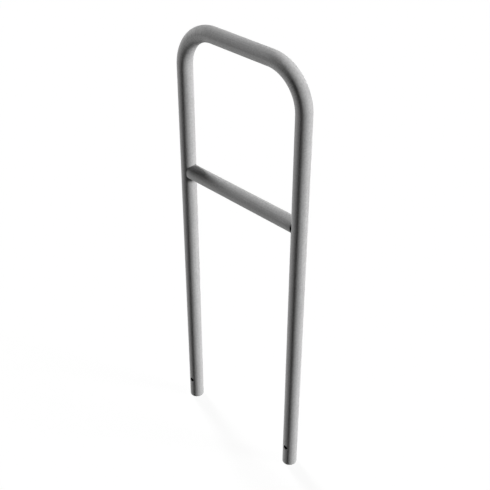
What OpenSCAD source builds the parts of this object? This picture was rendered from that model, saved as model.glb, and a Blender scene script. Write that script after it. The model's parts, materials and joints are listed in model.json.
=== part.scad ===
// Hoop barrier: one bent steel tube with a knee rail welded between its legs.
// Sizes are in millimetres. X runs along the width of the hoop, Y straight
// through it and Z up. The origin lies midway between the feet, at the level
// of their cut ends.

/* [Hoop] */
// Distance between the centrelines of the two legs
leg_spacing = 500; // [400:5:1000]
// Height of the top bar's centreline above the cut ends of the feet
top_height = 1500; // [1250:5:1800]
// Centreline radius of the two bends
bend_radius = 132; // [90:1:180]
// Outside diameter of the hoop tube
tube_d = 51; // [42:0.1:60]
// Wall thickness of the hoop tube
tube_wall = 2.5; // [2:0.1:4]

/* [Knee rail] */
// Height of the rail's centreline above the cut ends of the feet
rail_height = 1000; // [600:5:1050]
// Outside diameter of the rail tube
rail_d = 51; // [38:0.1:60]
// Wall thickness of the rail tube
rail_wall = 2.5; // [2:0.1:4]
// Depth of the saddle cut into each end of the rail
cope_depth = 9; // [6:0.5:12]

/* [Welds] */
// Leg length of the fillet welds between rail and hoop
weld_leg = 1.5; // [1:0.5:4]

/* [Anchor holes] */
// Diameter of the hole drilled through each foot for an anchor rod
anchor_hole_d = 16; // [8:0.5:20]
// Height of that hole's axis above the cut end of the foot
anchor_hole_height = 82; // [50:1:150]

/* [Hidden] */

$fn = 120;

// Which side a weld is on: minus X or plus X, and under or over the rail
left = -1;
right = 1;
under = -1;
over = 1;

tube_r = tube_d / 2;
rail_r = rail_d / 2;
leg_x = leg_spacing / 2;
bend_start = top_height - bend_radius;
top_half = leg_x - bend_radius;

// The rail's horns are cut off square at this distance from a leg's centreline
trim_from_leg = tube_r - cope_depth;
rail_half = leg_x - trim_from_leg;

// How far a cutting tool runs past the face that it cuts
cut_past = 5;

// The square cut leaves a slit at the front and back of each rail end. The seam
// between rail and leg runs over the rail from the front slit to the back one.
// Angles turn round the rail from plus Y towards plus Z.
slit_y = sqrt(pow(tube_r, 2) - pow(trim_from_leg, 2));
seam_start = slit_y < rail_r ? acos(slit_y / rail_r) : 0;
seam_sweep = 180 - 2 * seam_start;

// A bead is a row of sections along the seam, each upright and square to Y. Its
// flat facets stay this far off the round tubes, so that none cuts into them.
weld_seat = 0.05;
section_step = 6;
section_count = ceil(seam_sweep / section_step) + 1;

// The face of a section bulges from one toe to the other, and the section
// shrinks towards the two ends of the bead
face_points = 6;
face_bulge = 0.12;
end_share = 0.4;
end_power = 6;
section_points = face_points + 1;

// Root of a section, where the leg's face meets the rail's, on the right leg
function seam_point(angle) =
    let (y = (rail_r + weld_seat) * cos(angle))
    [leg_x - sqrt(pow(tube_r + weld_seat, 2) - pow(y, 2)),
     y,
     (rail_r + weld_seat) * sin(angle)];

// Leg length of a section, from full in the middle to its share at either end
function section_leg(share) =
    weld_leg * (1 - (1 - end_share) * pow(abs(2 * share - 1), end_power));

// Point of a section's face, from the toe on the rail to the toe on the leg
function face_point(leg, along) =
    let (bulge = face_bulge * sin(180 * along))
    leg * [along - 1 - bulge, 0, along + bulge];

// One section of the bead: its root, then its face
function weld_section(share) =
    let (root = seam_point(seam_start + share * seam_sweep),
         leg = section_leg(share))
    [root, for (i = [0 : face_points - 1])
        root + face_point(leg, i / (face_points - 1))];

// Solid round bar of the given diameter along the hoop's centreline, with its
// lower ends a little past the feet if it is to cut
module hoop_bar(d, past) {
    for (side = [left, right]) {
        translate([side * leg_x, 0, -past])
            cylinder(d = d, h = bend_start + past);
    }
    hoop_bend(d);
    mirror([1, 0, 0]) hoop_bend(d);
    translate([-top_half, 0, top_height])
        rotate([0, 90, 0])
            cylinder(d = d, h = 2 * top_half);
}

// Quarter bend from the right leg to the top bar
module hoop_bend(d) {
    translate([top_half, 0, bend_start])
        rotate([90, 0, 0])
            rotate_extrude(angle = 90)
                translate([bend_radius, 0])
                    circle(d = d);
}

// Hoop of one bent tube, open at both feet, with a hole through each foot
module hoop_tube() {
    color("silver")
        difference() {
            hoop_bar(tube_d, 0);
            hoop_bar(tube_d - 2 * tube_wall, cut_past);
            for (side = [left, right]) {
                translate([side * leg_x, tube_r + cut_past, anchor_hole_height])
                    rotate([90, 0, 0])
                        cylinder(d = anchor_hole_d, h = tube_d + 2 * cut_past);
            }
        }
}

// Solid cylinders where the legs stand, which cut the rail's saddles
module leg_space() {
    for (side = [left, right]) {
        translate([side * leg_x, 0, rail_height - rail_d])
            cylinder(d = tube_d, h = 2 * rail_d);
    }
}

// Knee rail, saddled to both legs, with its horns cut off square
module knee_rail() {
    color("lightgrey")
        difference() {
            translate([-rail_half, 0, rail_height])
                rotate([0, 90, 0])
                    cylinder(d = rail_d, h = 2 * rail_half);
            translate([-rail_half - cut_past, 0, rail_height])
                rotate([0, 90, 0])
                    cylinder(d = rail_d - 2 * rail_wall, h = 2 * (rail_half + cut_past));
            leg_space();
        }
}

// Bead along the right leg's upper seam, about the rail's centreline
module seam_bead() {
    sections = [for (k = [0 : section_count - 1]) weld_section(k / (section_count - 1))];
    points = [for (section = sections) each section];
    last = section_points * (section_count - 1);
    sides = [for (k = [0 : section_count - 2]) for (i = [0 : section_points - 1])
        let (a = k * section_points + i,
             b = k * section_points + (i + 1) % section_points)
        each [[a, b, b + section_points], [a, b + section_points, a + section_points]]];
    back_end = [for (i = [section_points - 1 : -1 : 0]) i];
    front_end = [for (i = [0 : section_points - 1]) last + i];
    polyhedron(points, concat(sides, [back_end, front_end]));
}

// Fillet weld on one side of the hoop, over or under the rail
module rail_weld(side, level) {
    color("darkgrey")
        translate([0, 0, rail_height])
            mirror([side == left ? 1 : 0, 0, 0])
                mirror([0, 0, level == under ? 1 : 0])
                    seam_bead();
}

module upper_left_weld() { rail_weld(left, over); }
module lower_left_weld() { rail_weld(left, under); }
module upper_right_weld() { rail_weld(right, over); }
module lower_right_weld() { rail_weld(right, under); }

hoop_tube();
knee_rail();
upper_left_weld();
lower_left_weld();
upper_right_weld();
lower_right_weld();
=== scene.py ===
import bmesh
import bpy
import json
import math
import numpy as np
from mathutils import Matrix, Vector


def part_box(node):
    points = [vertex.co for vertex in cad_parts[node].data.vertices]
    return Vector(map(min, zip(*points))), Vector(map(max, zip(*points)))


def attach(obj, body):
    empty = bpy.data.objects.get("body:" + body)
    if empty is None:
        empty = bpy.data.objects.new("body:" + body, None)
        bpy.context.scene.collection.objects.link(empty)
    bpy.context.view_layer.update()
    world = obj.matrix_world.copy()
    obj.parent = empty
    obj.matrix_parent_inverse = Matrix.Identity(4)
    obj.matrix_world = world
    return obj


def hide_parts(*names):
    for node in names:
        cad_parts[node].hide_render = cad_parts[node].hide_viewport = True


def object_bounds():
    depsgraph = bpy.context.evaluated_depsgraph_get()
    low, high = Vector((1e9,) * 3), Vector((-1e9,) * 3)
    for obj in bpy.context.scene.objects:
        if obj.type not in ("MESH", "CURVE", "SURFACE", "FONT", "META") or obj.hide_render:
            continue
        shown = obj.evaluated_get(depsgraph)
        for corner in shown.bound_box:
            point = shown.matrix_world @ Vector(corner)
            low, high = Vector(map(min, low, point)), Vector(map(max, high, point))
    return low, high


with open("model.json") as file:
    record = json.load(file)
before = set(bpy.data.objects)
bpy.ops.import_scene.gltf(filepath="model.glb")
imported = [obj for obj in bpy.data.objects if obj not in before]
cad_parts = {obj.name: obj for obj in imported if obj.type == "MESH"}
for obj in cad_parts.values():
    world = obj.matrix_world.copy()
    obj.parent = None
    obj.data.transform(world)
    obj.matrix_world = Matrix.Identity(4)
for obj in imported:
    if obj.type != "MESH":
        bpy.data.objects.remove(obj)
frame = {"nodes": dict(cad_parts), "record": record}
cadLow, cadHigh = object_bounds()
print("hoop barrier: frame loaded,", len(frame["nodes"]), "nodes")


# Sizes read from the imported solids: the tube's radius from the hoop's depth, and so on.
hoopLow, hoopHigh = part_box("hoop_tube")
railLow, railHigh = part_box("knee_rail")
anchorHole = next(m for m in frame["record"]["mounts"] if m["name"] == "right_anchor_hole")

tubeRadius = (hoopHigh.y - hoopLow.y) / 2
legX = hoopHigh.x - tubeRadius
topZ = hoopHigh.z - tubeRadius
railRadius = (railHigh.z - railLow.z) / 2
railZ = (railHigh.z + railLow.z) / 2
railHalf = railHigh.x
holeRadius = anchorHole["dims"]["r_mm"] / 1000
holeZ = anchorHole["pos_m"][2]


# Joins runs of numbers end to end and drops the repeats where they meet.
def chain(*runs, sameWithin=1e-9):
    joined = np.concatenate(runs)
    keep = np.ones(len(joined), bool)
    keep[1:] = np.abs(np.diff(joined)) > sameWithin
    return joined[keep]


# Sawn end of a tube's wall, from the outer face over two round corners to the bore. At turn t of a
# corner of radius c, a point lies c (1 - cos t) in from the face and c (1 - sin t) short of the end.
# Gives the radius, the distance short of the end, and how far each point is in the hollow.
def wallEnd(outer, inner, rounding, count):
    turns = np.linspace(0, math.pi / 2, count)
    sunk = rounding * (1 - np.cos(turns))
    short = rounding * (1 - np.sin(turns))
    radius = np.concatenate([outer - sunk, inner + sunk[::-1]])
    hollow = np.concatenate([np.zeros(count), np.linspace(0, 1, count)])
    return radius[:, None], np.concatenate([short, short[::-1]])[:, None], hollow[:, None]


# Makes one closed mesh of surface patches. A patch is a grid of points, a grid of tube coordinates, a
# mask of the cells to keep, and how far each point is in a bend and in the tube's hollow. Points that
# coincide are merged, and faces are turned outwards.
def meshFromPatches(name, patches, mergeWithin=2e-6):
    found = {"points": [], "coords": [], "bend": [], "hollow": [], "quads": []}
    start = 0
    for patch in patches:
        rows, columns = patch["points"].shape[:2]
        index = start + np.arange(rows * columns).reshape(rows, columns)
        cells = np.stack([index[:-1, :-1], index[:-1, 1:], index[1:, 1:], index[1:, :-1]], axis=-1)
        found["quads"].append(cells[patch.get("keep", np.ones(cells.shape[:2], bool))])
        for kind in ("points", "coords"):
            found[kind].append(patch[kind].reshape(-1, 3))
        for kind in ("bend", "hollow"):
            found[kind].append(np.broadcast_to(patch.get(kind, 0.0), (rows, columns)).reshape(-1))
        start += rows * columns
    whole = {kind: np.concatenate(parts) for kind, parts in found.items()}
    mesh = bpy.data.meshes.new(name)
    mesh.from_pydata(whole["points"].tolist(), [], whole["quads"].tolist())
    for attribute, dataType, field, kind in (("tubeCoord", "FLOAT_VECTOR", "vector", "coords"),
                                             ("bendShare", "FLOAT", "value", "bend"),
                                             ("hollowShare", "FLOAT", "value", "hollow")):
        values = mesh.attributes.new(attribute, dataType, "POINT").data
        values.foreach_set(field, whole[kind].ravel())

    shell = bmesh.new()
    shell.from_mesh(mesh)
    bmesh.ops.remove_doubles(shell, verts=shell.verts, dist=mergeWithin)
    bmesh.ops.dissolve_degenerate(shell, edges=shell.edges, dist=mergeWithin)
    loose = [v for v in shell.verts if not v.link_faces]
    bmesh.ops.delete(shell, geom=loose, context="VERTS")
    bmesh.ops.recalc_face_normals(shell, faces=shell.faces)
    openEdges = sum(1 for e in shell.edges if len(e.link_faces) != 2)
    shell.to_mesh(mesh)
    shell.free()
    mesh.polygons.foreach_set("use_smooth", np.ones(len(mesh.polygons), bool))
    mesh.update()
    piece = bpy.data.objects.new(name, mesh)
    bpy.context.scene.collection.objects.link(piece)
    print("  ", name, len(mesh.polygons), "faces,", openEdges, "open edges")
    return piece


hoopLook = {
    "wall": 0.0025,  # thickness of the tube's wall
    "bendRadius": 0.132,  # of the centreline
    "lipRound": 0.0005,  # rounding of the sawn feet and of the drilled holes
    "edgePoints": 5,  # round each of these edges
    "columns": 96,  # round the tube
    "windowColumns": 6,  # from a hole's middle to the edge of the patch round it
    "windowHalf": 0.0105,  # height of that patch, above and below the hole's middle
    "windowRows": 7,  # points up that patch
    "windowShares": (0.0, 0.3, 0.6, 0.85, 1.0),  # its rings, from its own edge to the drilled edge
    "footRows": 4,  # points up the leg from the foot to that patch
    "legRow": 0.03,  # length of a face along a leg
    "bendRows": 36,
    "barRow": 0.02,
    "outerMarks": 0.15,  # press marks on a bend's outer side, as a share of those on its inner side
}
boreRadius = tubeRadius - hoopLook["wall"]


# Lengths along the hoop's centreline: a leg up to its bend, a bend's quarter circle, and the whole.
def hoopLengths():
    bend = hoopLook["bendRadius"]
    straight = topZ - bend
    quarter = bend * math.pi / 2
    return straight, quarter, 2 * straight + 2 * quarter + 2 * (legX - bend)


# The hoop's centreline by distance from the left foot: up the left leg, round a quarter circle,
# along the top, round a second quarter and down the right leg. Gives the point, the outward normal
# in the hoop's plane, and how marked the bend is there, sqrt(sin 2t) sin t at turn t: more towards
# the top bar than towards the leg.
def hoopLine(along):
    bend = hoopLook["bendRadius"]
    straight, quarter, total = hoopLengths()
    mirrored = along > total / 2
    s = np.where(mirrored, total - along, along)
    turn = np.clip((s - straight) / quarter, 0, 1) * math.pi / 2
    x = bend - legX - bend * np.cos(turn) + np.maximum(s - straight - quarter, 0)
    z = np.minimum(s, straight) + bend * np.sin(turn)
    side = np.where(mirrored, -1.0, 1.0)
    centre = np.stack([x * side, np.zeros_like(s), z], axis=-1)
    normal = np.stack([-np.cos(turn) * side, np.zeros_like(s), np.sin(turn)], axis=-1)
    return centre, normal, np.sqrt(np.sin(2 * turn)) * np.sin(turn)


# Coordinates that follow a tube, for its finish: two across it and one along it.
def tubeCoords(radius, angles, along):
    coords = np.zeros((len(along), len(angles), 3))
    coords[..., 0] = radius * np.cos(angles)
    coords[..., 1] = radius * np.sin(angles)
    coords[..., 2] = along[:, None]
    return coords


# Wall of the hoop: a circle of the given radius carried along the centreline. Its angle runs from
# minus Y towards the outward normal. A bend is marked least on its outer side, where it is stretched.
def hoopWall(along, radius, angles):
    centre, normal, share = hoopLine(along)
    points = centre[:, None, :] + radius * np.sin(angles)[:, None] * normal[:, None, :]
    points[..., 1] = -radius * np.cos(angles)
    least = hoopLook["outerMarks"]
    pressed = least + (1 - least) * np.minimum(1 - np.sin(angles), 1)
    return {"points": points, "coords": tubeCoords(radius, angles, along), "bend": share[:, None] * pressed}


# Sawn end of a foot: the end of the wall, turned about the leg's centreline.
def footLip(side, footAlong, angles):
    look = hoopLook
    radius, height, hollow = wallEnd(tubeRadius, boreRadius, look["lipRound"], look["edgePoints"])
    depth, out = radius * np.cos(angles), radius * np.sin(angles)
    height = height + np.zeros_like(out)
    return {"points": np.stack([side * (legX + out), -depth, height], axis=-1),
            "coords": np.stack([depth, out, footAlong - side * height], axis=-1),
            "hollow": hollow}


# Round hole through the wall of a leg, as one patch: from the edge of its window in the outer wall
# in to the hole, round the drilled edge, through the wall and out again to the window in the inner wall.
# A point at distance a outwards and b upwards of the hole's middle has depth sqrt(r^2 - a^2).
def holePatch(side, face, windowB, holeAlong):
    look = hoopLook
    across = np.arange(-look["windowColumns"], look["windowColumns"] + 1) * 2 * math.pi / look["columns"]
    up = windowB[1:-1]
    ringAngle = np.concatenate([across, np.full(len(up), across[-1]), across[::-1],
                                np.full(len(up), across[0]), across[:1]])
    ringB = np.concatenate([np.full(len(across), windowB[0]), up, np.full(len(across), windowB[-1]),
                            up[::-1], windowB[:1]])
    polar = np.arctan2(ringB, tubeRadius * np.sin(ringAngle))
    cosine, sine = np.cos(polar), np.sin(polar)
    rounding = look["lipRound"]
    wide = holeRadius + rounding

    # rings of the window, at these shares of the way in to the drilled edge
    def windowRings(shares, radius):
        s = np.array(shares)[:, None]
        a = (1 - s) * radius * np.sin(ringAngle) + s * wide * cosine
        b = (1 - s) * ringB + s * wide * sine
        return a, b, np.sqrt(radius ** 2 - a ** 2)

    # rings of a rounded edge: at turn t of its corner, c (1 - cos t) into the wall
    def edgeRings(turns, radius, inwards):
        reach = wide - rounding * np.sin(turns)[:, None]
        a = reach * cosine
        sunk = rounding * (1 - np.cos(turns)[:, None])
        return a, reach * sine, np.sqrt(radius ** 2 - a ** 2) - inwards * sunk

    turns = np.linspace(0, math.pi / 2, look["edgePoints"])
    shares = look["windowShares"]
    rings = [windowRings(shares, tubeRadius), edgeRings(turns[1:], tubeRadius, 1),
             edgeRings(turns[::-1], boreRadius, -1), windowRings(shares[-2::-1], boreRadius)]
    a, b, depth = (np.concatenate(parts) for parts in zip(*rings))
    hollow = np.concatenate([np.zeros(len(shares)), np.sin(turns[1:]), np.ones(len(turns) + len(shares) - 1)])
    return {"points": np.stack([side * (legX + a), -face * depth, holeZ + b], axis=-1),
            "coords": np.stack([face * depth, a, holeAlong - side * b], axis=-1),
            "hollow": hollow[:, None]}


# The hoop: its outer wall and its bore, less a window round each drilled hole, then the sawn end of
# each foot and the patches that fill the windows. Rows of faces are even along each straight and each
# bend, and the right half mirrors the left.
def makeHoop():
    look = hoopLook
    straight, quarter, total = hoopLengths()
    windowB = np.linspace(-look["windowHalf"], look["windowHalf"], look["windowRows"])
    foot = np.linspace(look["lipRound"], holeZ - look["windowHalf"], look["footRows"])
    leg = np.linspace(holeZ + look["windowHalf"], straight, round(straight / look["legRow"]))
    bend = straight + np.linspace(0, quarter, look["bendRows"] + 1)
    bar = np.linspace(straight + quarter, total / 2, round((legX - look["bendRadius"]) / look["barRow"]))
    half = chain(foot, holeZ + windowB, leg, bend, bar)
    along = chain(half, total - half[::-1])
    angles = np.linspace(0, 2 * math.pi, look["columns"] + 1)

    # the windows are the cells near either hole, on the front and the back
    middle = (along[:-1] + along[1:]) / 2
    inRows = np.abs(np.minimum(middle, total - middle) - holeZ) < look["windowHalf"]
    column = np.arange(look["columns"]) + 0.5
    fromFront = np.minimum(column, look["columns"] - column)
    fromBack = look["columns"] / 2 - fromFront
    inColumns = np.minimum(fromFront, fromBack) < look["windowColumns"]
    keep = ~(inRows[:, None] & inColumns)

    patches = []
    for radius, hollow in ((tubeRadius, 0.0), (boreRadius, 1.0)):
        patches.append({**hoopWall(along, radius, angles), "hollow": hollow, "keep": keep})
    for side, footAlong in ((-1, 0.0), (1, total)):
        patches.append(footLip(side, footAlong, angles))
        for face in (1, -1):
            patches.append(holePatch(side, face, windowB, footAlong - side * holeZ))
    return meshFromPatches("hoopTube", patches)


hoopTube = makeHoop()
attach(hoopTube, "root")
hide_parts("hoop_tube")
print("hoop tube made")


railLook = {
    "wall": 0.0025,
    "lipRound": 0.0005,  # rounding of the sawn horns
    "edgePoints": 5,  # round each of their edges
    "columns": 168,
    "rowLength": 0.025,
    "rowsTo": 0.998,  # rows of faces run to this share of the rail's reach, short of its ends
}


# Knee rail: a circle of angles carried along X. At each angle the rail ends where it meets the leg's
# round face, legX - sqrt(R^2 - y^2), or sooner at the square cut. One closed profile per angle:
# along the outer wall, over the end, back through the bore and over the other end.
def makeRail():
    look = railLook
    inner = railRadius - look["wall"]
    angles = np.linspace(0, 2 * math.pi, look["columns"] + 1)

    def reach(radius):
        y = np.minimum(np.abs(radius * np.cos(angles)), tubeRadius)
        return np.minimum(legX - np.sqrt(tubeRadius ** 2 - y ** 2), railHalf)

    reaches = np.stack([reach(railRadius), reach(inner)])
    endRadius, short, endHollow = wallEnd(railRadius, inner, look["lipRound"], look["edgePoints"])
    endX = np.repeat(reaches, look["edgePoints"], axis=0) - short
    shares = np.linspace(-1, 1, 2 * round(railHalf / look["rowLength"]) + 1)[1:-1, None] * look["rowsTo"]
    ones = np.ones_like(shares)
    profile = [np.concatenate([railRadius * ones, endRadius, inner * ones, endRadius[::-1]]),
               np.concatenate([shares * reaches[0], endX, shares[::-1] * reaches[1], -endX[::-1]]),
               np.concatenate([0 * ones, endHollow, ones, endHollow[::-1]])]
    radius, x, hollow = (np.concatenate([rows, rows[:1]]) for rows in profile)
    y, z = radius * np.cos(angles), radius * np.sin(angles)
    return meshFromPatches("kneeRail", [{"points": np.stack([x, y, railZ + z], axis=-1),
                                         "coords": np.stack([y, z, x], axis=-1), "hollow": hollow}])


kneeRail = makeRail()
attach(kneeRail, "root")
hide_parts("knee_rail")
print("knee rail made")


weldLook = {
    "leg": 0.0014,  # leg length of the fillet
    "bulge": 0.168,  # how far its face stands out, as a share of the leg
    "endShare": 0.4,  # what is left of the leg at the two ends of a bead
    "endPower": 6,  # how late it shrinks towards them
    "ripple": 0.000182,  # height of the ripples of the run
    "rippleLength": 0.0032,
    "rippleBow": 0.35,  # how far a ripple's middle runs ahead of its ends, in ripple lengths
    "rippleSunk": 0.6,  # share of a ripple's height that lies under the plain face
    "stations": 120,
    "facePoints": 12,
    "sink": 0.0006,  # how deep its root lies under the two tubes' faces
}


# Weld bead along the seam between rail and leg. At angle t round the rail the seam lies at
# y = r cos t, z = r sin t, x = legX - sqrt(R^2 - y^2). Each section is a right triangle at the seam,
# with one toe along the rail and the other up the leg. Its face stands out by a sine from toe to toe,
# at 45 degrees, and its ripples are the absolute value of a sine along the run.
def makeWeld(name, side, level):
    look = weldLook
    slitY = math.sqrt(tubeRadius ** 2 - (legX - railHalf) ** 2)
    startAngle = math.acos(min(slitY / railRadius, 1))
    share = np.linspace(0, 1, look["stations"])[:, None]
    angle = startAngle + share * (math.pi - 2 * startAngle)
    y = railRadius * np.cos(angle)
    rootX = legX - np.sqrt(tubeRadius ** 2 - y ** 2)
    rootZ = railRadius * np.sin(angle)
    steps = np.linalg.norm(np.diff(np.hstack([rootX, y, rootZ]), axis=0), axis=1)
    run = np.concatenate([[0], np.cumsum(steps)])[:, None]
    along = np.linspace(0, 1, look["facePoints"])
    arch = np.sin(math.pi * along)
    wave = np.abs(np.sin(math.pi * (run / look["rippleLength"] + look["rippleBow"] * arch)))
    leg = look["leg"] * (1 - (1 - look["endShare"]) * np.abs(2 * share - 1) ** look["endPower"])
    bulge = (leg * look["bulge"] + look["ripple"] * (wave - look["rippleSunk"])) * arch
    faceX = rootX + leg * (along - 1) - bulge * math.sqrt(0.5)
    faceZ = rootZ + leg * along + bulge * math.sqrt(0.5)
    sunkX, sunkZ = rootX + look["sink"], rootZ - look["sink"]
    x = np.hstack([sunkX, faceX[:, :1], faceX, faceX[:, -1:] + look["sink"], sunkX])
    z = np.hstack([sunkZ, faceZ[:, :1] - look["sink"], faceZ, faceZ[:, -1:], sunkZ])
    grid = np.stack([x, y + np.zeros_like(x), z], axis=-1)
    firstEnd, lastEnd = (np.broadcast_to(row.mean(axis=0), row.shape)[None] for row in (grid[0], grid[-1]))
    grid = np.concatenate([firstEnd, grid, lastEnd]) * (side, 1, level) + (0, 0, railZ)
    return meshFromPatches(name, [{"points": grid, "coords": grid}])


welds = []
for weldName, node, side, level in (("upperLeftWeld", "upper_left_weld", -1, 1),
                                    ("lowerLeftWeld", "lower_left_weld", -1, -1),
                                    ("upperRightWeld", "upper_right_weld", 1, 1),
                                    ("lowerRightWeld", "lower_right_weld", 1, -1)):
    weld = makeWeld(weldName, side, level)
    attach(weld, "root")
    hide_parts(node)
    welds.append(weld)
print("welds made:", len(welds))


# Direction of an azimuth and an elevation in degrees: (sin a cos e, -cos a cos e, sin e). The azimuth
# runs from straight in front towards the right leg.
def directionOf(azimuth, elevation):
    a, e = math.radians(azimuth), math.radians(elevation)
    return Vector((math.sin(a) * math.cos(e), -math.cos(a) * math.cos(e), math.sin(e)))


cameraSetup = {
    "aim": (0.01749, 0.0, 0.75497),  # point that the middle of the lens looks at
    "azimuth": 45.468,
    "elevation": 34.891,
    "roll": 0.15,
    "distance": 3.0075,
    "focalPixels": 909.34,
    "centreDown": 18.0,  # pixels from the frame's middle down to the lens's axis
    "frame": 490.0,
    "sensor": 36.0,
}


# Camera at its distance from the aim point, turned to look back at it and then rolled.
def makeCamera():
    setup = cameraSetup
    back = directionOf(setup["azimuth"], setup["elevation"])
    right = Vector((0, 0, 1)).cross(back).normalized()
    up = back.cross(right)
    roll = math.radians(setup["roll"])
    rolledRight = right * math.cos(roll) + up * math.sin(roll)
    rolledUp = up * math.cos(roll) - right * math.sin(roll)
    lens = bpy.data.cameras.new("photoCamera")
    lens.sensor_width = setup["sensor"]
    lens.lens = setup["focalPixels"] / setup["frame"] * setup["sensor"]
    lens.shift_y = setup["centreDown"] / setup["frame"]
    camera = bpy.data.objects.new("photoCamera", lens)
    turn = Matrix((rolledRight, rolledUp, back)).transposed().to_4x4()
    camera.matrix_world = Matrix.Translation(Vector(setup["aim"]) + back * setup["distance"]) @ turn
    bpy.context.scene.collection.objects.link(camera)
    bpy.context.scene.camera = camera


makeCamera()
print("camera placed")


# New node with its settings, and its inputs by name or number: a socket is linked, the rest are set.
def addNode(tree, kind, settings, inputs):
    node = tree.nodes.new(kind)
    for name, value in settings.items():
        setattr(node, name, value)
    for name, value in inputs.items():
        if isinstance(value, bpy.types.NodeSocket):
            tree.links.new(value, node.inputs[name])
        else:
            node.inputs[name].default_value = value
    return node


# One step of arithmetic on sockets or plain numbers.
def addMath(tree, operation, *values):
    return addNode(tree, "ShaderNodeMath", {"operation": operation}, dict(enumerate(values))).outputs[0]


# One step of arithmetic on vectors.
def addVectorMath(tree, operation, *values):
    return addNode(tree, "ShaderNodeVectorMath", {"operation": operation}, dict(enumerate(values))).outputs


# Mix of two colours (dataType "RGBA") or numbers ("FLOAT"): all of the first at share 0.
def addMix(tree, dataType, share, first, second):
    inputs = {"Factor": share, "A": first, "B": second}
    return addNode(tree, "ShaderNodeMix", {"data_type": dataType}, inputs).outputs["Result"]


# Value carried from one range to another and held past its ends.
def addRange(tree, value, given, wanted, interpolation="SMOOTHSTEP"):
    inputs = {"Value": value, "From Min": given[0], "From Max": given[1],
              "To Min": wanted[0], "To Max": wanted[1]}
    return addNode(tree, "ShaderNodeMapRange", {"interpolation_type": interpolation}, inputs).outputs[0]


# Layers of the zinc on a tube. Each has its size across and along the tube in metres, its shares of
# the tone and of the roughness, and its height in metres. One with softEdges is made of crystals.
tubeZinc = {
    "darkTone": (0.46, 0.46, 0.46, 1.0),
    "lightTone": (0.64, 0.64, 0.64, 1.0),
    "hollowTone": (0.06, 0.06, 0.06, 1.0),  # painted shade inside the tube and its drilled holes, where the zinc is also duller
    "smoothest": 0.6,
    "roughest": 0.8,
    "hollowRough": 0.95,
    "specular": 0.35,
    "seamTone": (0.2, 0.2, 0.2, 1.0),  # painted shade in the corner between rail and leg
    "seamReach": 0.018,  # how far it spreads from the corner
    "seamShares": (0.0, 0.95),  # over the rail and under it
    "seamEnds": (0.012, 0.021),  # it fades out between these depths from the hoop's middle plane
    "layers": {
        "clouds": {"across": 0.06, "along": 0.11, "detail": 2.0,
                   "tone": 0.35, "rough": 0.5, "height": 0.0},
        "waves": {"across": 0.018, "along": 0.022, "detail": 1.0,
                  "tone": 0.1, "rough": 0.2, "height": 0.00006},
        "crystals": {"across": 0.0045, "along": 0.0045, "softEdges": 0.3,
                     "tone": 0.5, "rough": 0.6, "height": 0.000006},
        "speckle": {"across": 0.0045, "along": 0.0045, "detail": 3.0,
                    "tone": 1.2, "rough": 0.8, "height": 0.00015},
        "drawnLines": {"across": 0.0035, "along": 0.2, "detail": 2.0,
                       "tone": 1.2, "rough": 0.3, "height": 0.00005},
        "bendMarks": {"across": 0.025, "along": 0.0042, "detail": 1.0, "bendsOnly": True,
                      "tone": 4.5, "rough": 0.3, "height": 0.00016},
    },
}

# Zinc of the welds: duller zinc, with its tones set far darker than the tube's as painted shade in the corner
# between rail and leg.
shadedWeldZinc = {
    "darkTone": (0.12, 0.12, 0.12, 1.0),
    "lightTone": (0.24, 0.24, 0.24, 1.0),
    "hollowTone": (0.06, 0.06, 0.06, 1.0),
    "smoothest": 0.68,
    "roughest": 0.9,
    "hollowRough": 0.95,
    "specular": 0.35,
    "layers": {
        "clouds": {"across": 0.02, "along": 0.02, "detail": 2.0,
                   "tone": 0.5, "rough": 0.5, "height": 0.0},
        "crystals": {"across": 0.003, "along": 0.003, "softEdges": 0.3,
                     "tone": 0.35, "rough": 0.6, "height": 0.000006},
        "grain": {"across": 0.0012, "along": 0.0012, "detail": 3.0,
                  "tone": 0.8, "rough": 0.8, "height": 0.00003},
    },
}


# Value of one layer, about zero: noise, or the tones of crystals whose cells are bent by noise.
def zincLayer(tree, layer, coords, bend):
    sizes = (1 / layer["across"], 1 / layer["across"], 1 / layer["along"])
    scaled = addVectorMath(tree, "MULTIPLY", coords, sizes)[0]
    noise = addNode(tree, "ShaderNodeTexNoise", {},
                    {"Vector": scaled, "Scale": 1.0, "Detail": layer.get("detail", 0.0)})
    value = noise.outputs["Fac"]
    if "softEdges" in layer:
        bent = addVectorMath(tree, "ADD", scaled, noise.outputs["Color"])[0]
        cells = addNode(tree, "ShaderNodeTexVoronoi", {"feature": "SMOOTH_F1"},
                        {"Vector": bent, "Scale": 1.0, "Smoothness": layer["softEdges"]})
        value = addNode(tree, "ShaderNodeSeparateColor", {}, {0: cells.outputs["Color"]}).outputs[0]
    value = addMath(tree, "SUBTRACT", value, 0.5)  # both lie about a half
    if "bendsOnly" in layer:
        value = addMath(tree, "MULTIPLY", value, bend)
    return value


# Distance of a point from the face of a round tube about an axis, given its two offsets from the axis.
def tubeGap(tree, first, second, radius):
    offset = addNode(tree, "ShaderNodeCombineXYZ", {}, {"X": first, "Y": second}).outputs[0]
    fromAxis = addVectorMath(tree, "LENGTH", offset)["Value"]
    return addMath(tree, "ABSOLUTE", addMath(tree, "SUBTRACT", fromAxis, radius))
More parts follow.
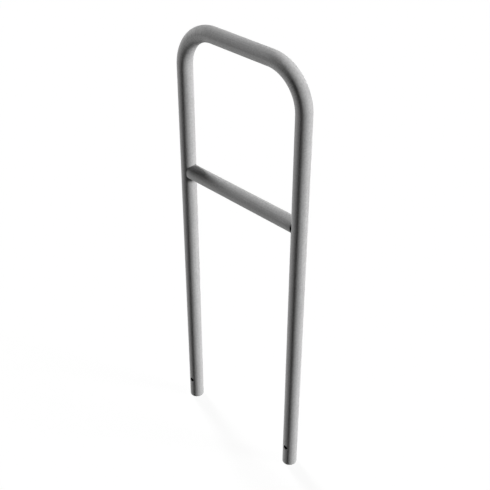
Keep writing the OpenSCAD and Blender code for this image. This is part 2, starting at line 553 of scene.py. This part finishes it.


# How much of the painted shade in the seam shows: most in the corner between rail and leg, none past its
# reach from it, past the weld's ends or outside the hoop, and more under the rail than over it, where the
# rail shades the leg. On either tube, the distance to the corner is about that to the other tube's face.
def creaseShade(tree, look):
    place = addNode(tree, "ShaderNodeTexCoord", {}, {}).outputs["Object"]
    x, y, z = addNode(tree, "ShaderNodeSeparateXYZ", {}, {0: place}).outputs
    outwards = addMath(tree, "SUBTRACT", addMath(tree, "ABSOLUTE", x), legX)
    upwards = addMath(tree, "SUBTRACT", z, railZ)
    gap = addMath(tree, "ADD", tubeGap(tree, outwards, y, tubeRadius), tubeGap(tree, y, upwards, railRadius))
    near = addRange(tree, gap, (0.0, look["seamReach"]), (1.0, 0.0))
    level = addRange(tree, z, (railZ + railRadius, railZ - railRadius), look["seamShares"], "LINEAR")
    welded = addRange(tree, addMath(tree, "ABSOLUTE", y), look["seamEnds"], (1.0, 0.0))
    inside = addMath(tree, "LESS_THAN", outwards, 0.0)
    return addMath(tree, "MULTIPLY", addMath(tree, "MULTIPLY", near, level),
                   addMath(tree, "MULTIPLY", welded, inside))


# Zinc finish: every layer adds its share to the tone, the roughness and the height of the surface, and
# painted shade darkens the tone in the seam's corner and in the hollow.
def zincFinish(name, look):
    material = bpy.data.materials.new(name)
    material.use_nodes = True
    tree = material.node_tree
    coords = addNode(tree, "ShaderNodeAttribute", {"attribute_name": "tubeCoord"}, {}).outputs["Vector"]
    bend = addNode(tree, "ShaderNodeAttribute", {"attribute_name": "bendShare"}, {}).outputs["Fac"]
    hollow = addNode(tree, "ShaderNodeAttribute", {"attribute_name": "hollowShare"}, {}).outputs["Fac"]
    totals = {"tone": 0.5, "rough": 0.5, "height": 0.0}  # half way between the two ends, and flat
    for layer in look["layers"].values():
        value = zincLayer(tree, layer, coords, bend)
        for kind in totals:
            if layer[kind]:
                totals[kind] = addMath(tree, "MULTIPLY_ADD", value, layer[kind], totals[kind])
    tone = addMix(tree, "RGBA", totals["tone"], look["darkTone"], look["lightTone"])
    # painted shade in the corner between rail and leg, stronger under the rail
    if "seamTone" in look:
        tone = addMix(tree, "RGBA", creaseShade(tree, look), tone, look["seamTone"])
    rough = addMix(tree, "FLOAT", totals["rough"], look["smoothest"], look["roughest"])
    bump = addNode(tree, "ShaderNodeBump", {}, {"Distance": 1.0, "Height": totals["height"]})
    shader = tree.nodes["Principled BSDF"]
    shader.inputs["Specular IOR Level"].default_value = look["specular"]
    # painted shade in the hollow of the tube and of its drilled holes
    tree.links.new(addMix(tree, "RGBA", hollow, tone, look["hollowTone"]), shader.inputs["Base Color"])
    tree.links.new(addMix(tree, "FLOAT", hollow, rough, look["hollowRough"]), shader.inputs["Roughness"])
    tree.links.new(bump.outputs["Normal"], shader.inputs["Normal"])
    return material


tubeFinish = zincFinish("galvanisedTube", tubeZinc)
weldFinish = zincFinish("galvanisedWeld", shadedWeldZinc)
for piece in (hoopTube, kneeRail):
    piece.data.materials.append(tubeFinish)
for weld in welds:
    weld.data.materials.append(weldFinish)
print("finishes made")


stageSetup = {
    "floorSize": 30.0,
    "floorGlow": 0.938,  # light of the floor as the camera and gloss see it
    "floorColour": (0.1, 0.1, 0.1, 1.0),
    "unseenColour": (0.0, 0.0, 0.0, 1.0),  # of the floor for the light that would bounce off it
    "worldColour": (1.0, 1.0, 1.0, 1.0),
    "worldGlow": 1.0,  # light of the world as the camera and gloss see it
    "worldLight": 0.0,  # its light on the hoop, which the lamps give
}


# Share that is 1 for rays from the camera, from gloss and through glass, and 0 for the rest.
def seenShare(tree):
    path = tree.nodes.new("ShaderNodeLightPath").outputs
    direct = addMath(tree, "MAXIMUM", path["Is Camera Ray"], path["Is Glossy Ray"])
    return addMath(tree, "MAXIMUM", direct, path["Is Transmission Ray"])


# Floor: one flat square at the level of the feet, plain and pale, with the hoop's faint shadow on it.
def makeFloor():
    setup = stageSetup
    half = setup["floorSize"] / 2
    corners = [(-half, -half, 0), (half, -half, 0), (half, half, 0), (-half, half, 0)]
    mesh = bpy.data.meshes.new("floor")
    mesh.from_pydata(corners, [], [(0, 1, 2, 3)])
    floor = bpy.data.objects.new("floor", mesh)
    bpy.context.scene.collection.objects.link(floor)
    floor.visible_shadow = False  # the low light comes up through it, as from a light table
    material = bpy.data.materials.new("paleFloor")
    material.use_nodes = True
    tree = material.node_tree
    tree.nodes.clear()
    seen = seenShare(tree)
    tint = addMix(tree, "RGBA", seen, setup["unseenColour"], setup["floorColour"])
    plain = addNode(tree, "ShaderNodeBsdfDiffuse", {}, {"Color": tint}).outputs[0]
    strength = addMath(tree, "MULTIPLY", seen, setup["floorGlow"])
    glow = addNode(tree, "ShaderNodeEmission", {}, {"Strength": strength}).outputs[0]
    both = addNode(tree, "ShaderNodeAddShader", {}, {0: plain, 1: glow}).outputs[0]
    addNode(tree, "ShaderNodeOutputMaterial", {}, {"Surface": both})
    mesh.materials.append(material)


# World: a plain white round the floor, which lights nothing by itself.
def makeWorld():
    setup = stageSetup
    world = bpy.data.worlds.new("studio")
    bpy.context.scene.world = world
    world.use_nodes = True
    tree = world.node_tree
    background = tree.nodes["Background"]
    background.inputs["Color"].default_value = setup["worldColour"]
    light = addMix(tree, "FLOAT", seenShare(tree), setup["worldLight"], setup["worldGlow"])
    tree.links.new(light, background.inputs["Strength"])


makeFloor()
makeWorld()
print("stage made")


lamps = {
    "sideLight": {"azimuth": 118.9, "elevation": 8.0, "spread": 17.0, "strength": 3.38},
    "lowLight": {"azimuth": -61.8, "elevation": -23.2, "spread": 20.0, "strength": 1.45},
    "backLight": {"azimuth": -106.5, "elevation": 61.5, "spread": 8.0, "strength": 1.77},
}
lampDistance = 2.0  # from the hoop's middle, which makes no difference to so distant a lamp's light


# Distant soft lamp. Its spread is how wide it looks from the hoop, in degrees.
def makeLamp(name, azimuth, elevation, spread, strength):
    away = directionOf(azimuth, elevation)
    light = bpy.data.lights.new(name, "SUN")
    light.angle = math.radians(spread)
    light.energy = strength
    lamp = bpy.data.objects.new(name, light)
    lamp.location = Vector((0, 0, (cadLow.z + cadHigh.z) / 2)) + away * lampDistance
    lamp.rotation_mode = "QUATERNION"
    lamp.rotation_quaternion = away.to_track_quat("Z", "Y")
    bpy.context.scene.collection.objects.link(lamp)


for lampName, values in lamps.items():
    makeLamp(lampName, **values)
bpy.context.scene.view_settings.view_transform = "Standard"
print("lamps placed")
